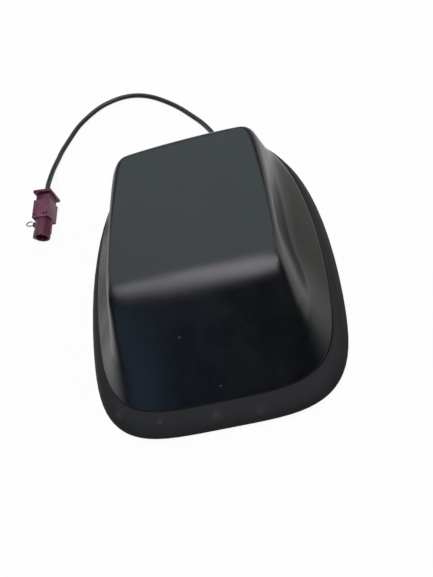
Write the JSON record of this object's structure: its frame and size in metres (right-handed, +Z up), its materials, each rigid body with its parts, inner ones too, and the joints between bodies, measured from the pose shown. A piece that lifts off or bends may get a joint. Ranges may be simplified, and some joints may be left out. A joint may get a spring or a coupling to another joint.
{
  "type": "gps antenna",
  "caption": "Roof-mounted positioning antenna: a drafted black radome on a rubber skirt, with a short coaxial lead and a claret push-on plug.",
  "frame": {"origin": "centre of the skirt's underside, on the roof or surface it stands on", "axes": "+Z up from the roof, +Y to the rear where the lead leaves, +X to the right seen from the front"},
  "size_m": [0.1575, 0.2162, 0.0404],
  "materials": {
    "radome_plastic": "fine satin grain, moulded in black",
    "skirt_rubber": "matt black rubber with a dusty bloom",
    "cast_base": "as cast, satin",
    "insert_brass": "turned",
    "plated_steel": "zinc plated",
    "gasket_foam": "closed cell foam",
    "carrier_plastic": "natural moulded plastic",
    "board_laminate": "green solder mask",
    "patch_ceramic": "fired, unglazed",
    "silver_face": "fired silver",
    "tinned_sheet": "tinned sheet",
    "adhesive_pad": "foam tape",
    "lead_jacket": "satin black jacket",
    "core_plastic": "natural core insulation",
    "plug_claret": "claret moulded plastic",
    "sleeve_claret": "claret moulded plastic",
    "bright_plate": "nickel plated",
    "gold_plate": "gold plated",
    "insulator_white": "machined"
  },
  "bodies": {
    "root": {"radome": "radome_plastic", "skirt": "skirt_rubber", "base_plate": "cast_base", "roof_inserts": "insert_brass", "radome_screws": "plated_steel", "foam_gasket": "gasket_foam", "module_carrier": "carrier_plastic", "carrier_screws": "plated_steel", "receiver_board": "board_laminate", "board_screws": "plated_steel", "patch_pad": "adhesive_pad", "ceramic_patch": "patch_ceramic", "patch_face": "silver_face", "feed_pin": "tinned_sheet", "screening_can": "tinned_sheet", "lead_clamp": "plated_steel", "clamp_screws": "plated_steel", "core_lead": "core_plastic", "lead_grommet": "skirt_rubber", "lead": "lead_jacket", "plug_ferrule": "bright_plate", "plug_housing": "plug_claret", "plug_sleeve": "sleeve_claret", "plug_shell": "gold_plate", "plug_insulator": "insulator_white", "plug_contact": "gold_plate", "latch_wire": "bright_plate"}
  },
  "joints": []
}
